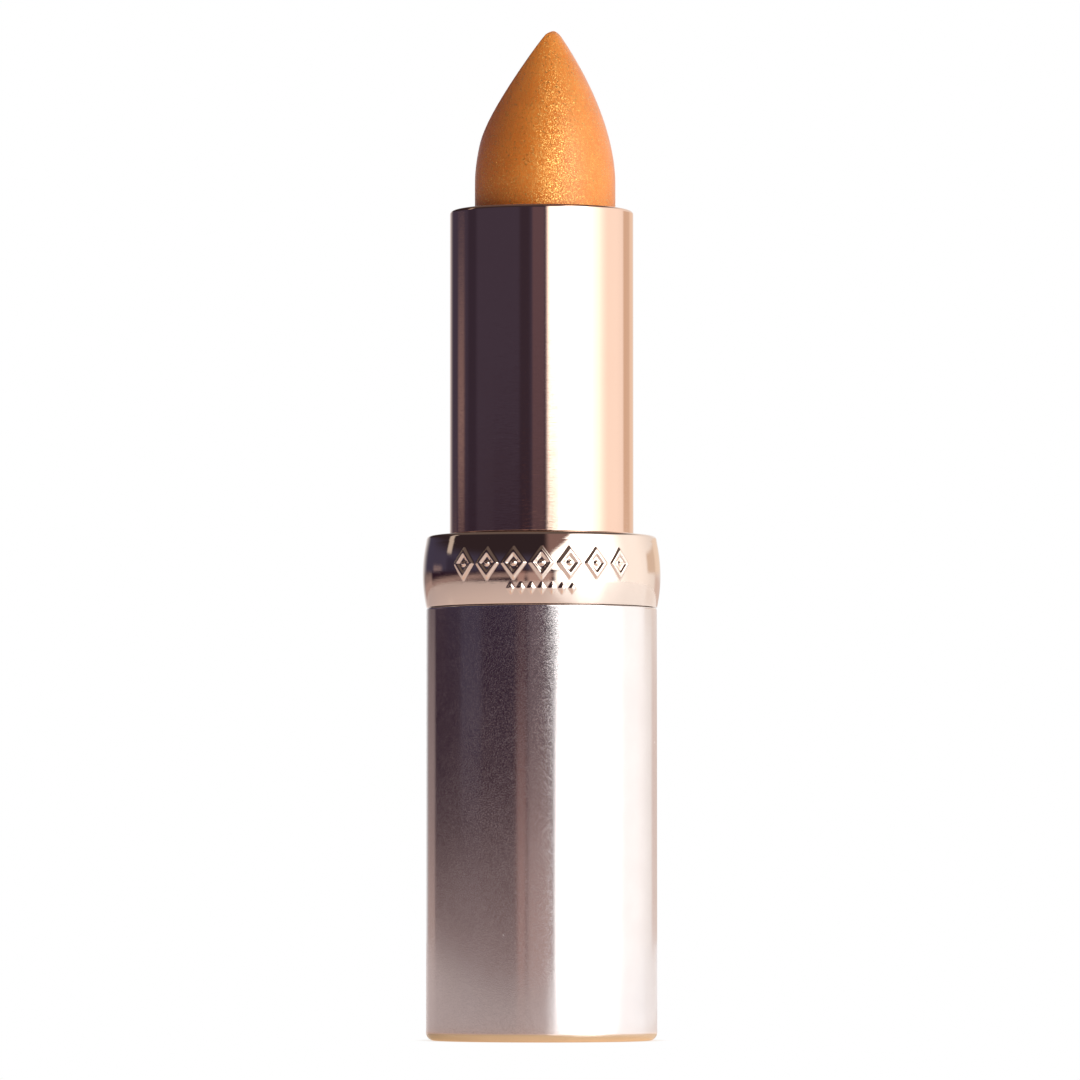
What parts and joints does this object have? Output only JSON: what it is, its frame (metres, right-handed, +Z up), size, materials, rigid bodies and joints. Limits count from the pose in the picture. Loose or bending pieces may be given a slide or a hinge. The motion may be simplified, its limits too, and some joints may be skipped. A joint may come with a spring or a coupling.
{
  "type": "lipstick case",
  "caption": "Round twist-up lipstick case shown open, with a satin base, a barrel-shaped polished collar, a turning tube and a slanted stick.",
  "frame": {"origin": "centre of the face the case stands on", "axes": "+Z up along the case's axis towards the stick's tip, front with the main ornament towards -Y"},
  "size_m": [0.0204, 0.0208, 0.0868],
  "materials": {
    "satin_metal": "fine satin, rose-champagne anodised",
    "collar_metal": "mirror polished, rose-champagne anodised",
    "tube_metal": "mirror polished, rose-champagne anodised",
    "steel": "turned",
    "label_paper": "uncoated paper",
    "base_plastic": "moulded",
    "guide_plastic": "moulded, natural",
    "helix_plastic": "moulded, natural",
    "cup_plastic": "moulded, natural",
    "soft_ring": "moulded",
    "stick_wax": "pearly shimmer"
  },
  "bodies": {
    "base": {"base_sheath": "satin_metal", "base_weight": "steel", "shade_label": "label_paper", "base_liner": "base_plastic", "guide_sleeve": "guide_plastic", "friction_ring": "soft_ring", "collar_insert": "base_plastic", "collar": "collar_metal"},
    "tube": {"tube_shell": "tube_metal", "helix_sleeve": "helix_plastic"},
    "carrier": {"product_cup": "cup_plastic", "bullet": "stick_wax"}
  },
  "joints": [
    {"name": "tube_turn", "type": "hinge", "parent": "base", "child": "tube", "pos_m": [0, 0, 0.05], "axis": [0, 0, 1], "range_deg": [-90, 510]},
    {"name": "stick_slide", "type": "slide", "parent": "base", "child": "carrier", "axis": [0, 0, 1], "range_m": [-0.017, 0.003]}
  ],
  "couplings": [
    {"joint": "stick_slide", "follows": "tube_turn", "m_per_rad": -0.0019099}
  ]
}
